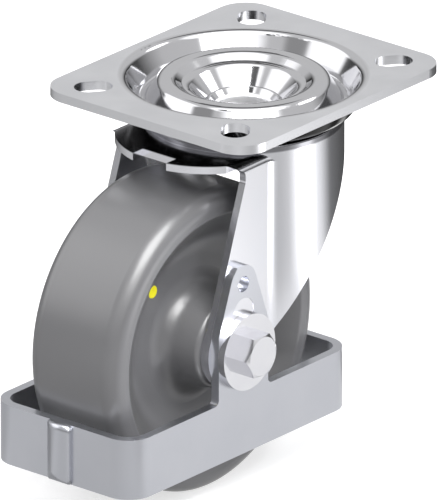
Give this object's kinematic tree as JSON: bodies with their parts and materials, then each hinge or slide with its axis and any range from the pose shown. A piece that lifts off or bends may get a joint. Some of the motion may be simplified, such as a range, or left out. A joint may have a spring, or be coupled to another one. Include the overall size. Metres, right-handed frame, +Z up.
{
  "type": "swivel caster",
  "caption": "Plate-mounted swivel caster with a pressed fork, moulded wheel on a roller bearing, and a foot guard round the wheel.",
  "frame": {"origin": "centre of the mounting plate's top face, on the swivel axis", "axes": "+Z up out of the mounting plate, along the swivel axis; +X is the direction of travel, with the wheel trailing towards -X; Y is along the axle"},
  "size_m": [0.1404, 0.085, 0.125],
  "materials": {
    "plate_zinc": "zinc-plated pressed steel, satin",
    "fork_zinc": "bright zinc-plated pressed steel",
    "guard_zinc": "zinc-plated flat bar, satin",
    "fastener_zinc": "bright zinc-plated fasteners",
    "bearing_steel": "polished hardened steel",
    "wheel_grey": "moulded plastic, satin grey",
    "seal_black": "black rubber, glossy",
    "dot_yellow": "yellow colour dot",
    "insert_nylon": "nylon insert"
  },
  "bodies": {
    "mount": {"top_plate": "plate_zinc", "king_rivet": "plate_zinc", "lower_race": "bearing_steel"},
    "upper_ball_row": {"upper_balls": "bearing_steel"},
    "lower_ball_row": {"lower_balls": "bearing_steel"},
    "fork_assembly": {"fork": "fork_zinc", "dust_seal": "seal_black", "foot_guard": "guard_zinc", "locating_stud_left": "fork_zinc", "locating_stud_right": "fork_zinc", "axle_bolt": "fastener_zinc", "axle_washer_left": "fastener_zinc", "axle_washer_right": "fastener_zinc", "axle_nut": "fastener_zinc", "nut_insert": "insert_nylon", "axle_tube": "bearing_steel", "thrust_washer_left": "fastener_zinc", "thrust_washer_right": "fastener_zinc"},
    "wheel_body": {"wheel": "wheel_grey", "marking_dot": "dot_yellow"},
    "roller_set": {"roller_cage": "fastener_zinc", "rollers": "bearing_steel"}
  },
  "joints": [
    {"name": "swivel", "type": "hinge", "parent": "mount", "child": "fork_assembly", "pos_m": [0, 0, 0], "axis": [0, 0, 1], "continuous": true},
    {"name": "upper_balls_orbit", "type": "hinge", "parent": "mount", "child": "upper_ball_row", "pos_m": [0, 0, 0], "axis": [0, 0, 1], "continuous": true},
    {"name": "lower_balls_orbit", "type": "hinge", "parent": "mount", "child": "lower_ball_row", "pos_m": [0, 0, 0], "axis": [0, 0, 1], "continuous": true},
    {"name": "wheel_spin", "type": "hinge", "parent": "fork_assembly", "child": "wheel_body", "pos_m": [-0.035, 0, -0.075], "axis": [0, 1, 0], "continuous": true},
    {"name": "rollers_orbit", "type": "hinge", "parent": "fork_assembly", "child": "roller_set", "pos_m": [-0.035, 0, -0.075], "axis": [0, 1, 0], "continuous": true}
  ],
  "couplings": [
    {"joint": "upper_balls_orbit", "follows": "swivel", "ratio": 0.5},
    {"joint": "lower_balls_orbit", "follows": "swivel", "ratio": 0.5},
    {"joint": "rollers_orbit", "follows": "wheel_spin", "ratio": 0.6149}
  ]
}
